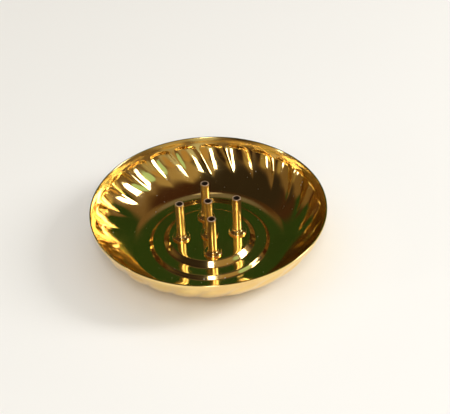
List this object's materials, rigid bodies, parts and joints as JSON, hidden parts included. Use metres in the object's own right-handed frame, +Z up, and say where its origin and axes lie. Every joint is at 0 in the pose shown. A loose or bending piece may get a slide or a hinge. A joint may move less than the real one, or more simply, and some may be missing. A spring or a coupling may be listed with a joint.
{
  "type": "incense stick dish",
  "caption": "Shallow brass dish with swirled flutes and a stepped centre carrying upright tubes for incense sticks.",
  "frame": {"origin": "centre of the foot plane, under the middle tube", "axes": "+Z up along the tubes; +X to the right and +Y away as the dish is seen from the front"},
  "size_m": [0.13, 0.13, 0.029],
  "materials": {
    "dish_brass": "mirror polished inside and out",
    "tube_brass": "polished tube",
    "socket_brass": "polished, turned",
    "nut_brass": "as machined, slightly dull"
  },
  "bodies": {
    "root": {"fluted_dish": "dish_brass", "stick_tube_centre": "tube_brass", "stick_tube_right": "tube_brass", "stick_tube_back": "tube_brass", "stick_tube_left": "tube_brass", "stick_tube_front": "tube_brass", "flared_socket_centre": "socket_brass", "flared_socket_right": "socket_brass", "flared_socket_back": "socket_brass", "flared_socket_left": "socket_brass", "flared_socket_front": "socket_brass", "stud_nut_centre": "nut_brass", "stud_nut_right": "nut_brass", "stud_nut_back": "nut_brass", "stud_nut_left": "nut_brass", "stud_nut_front": "nut_brass"}
  },
  "joints": []
}
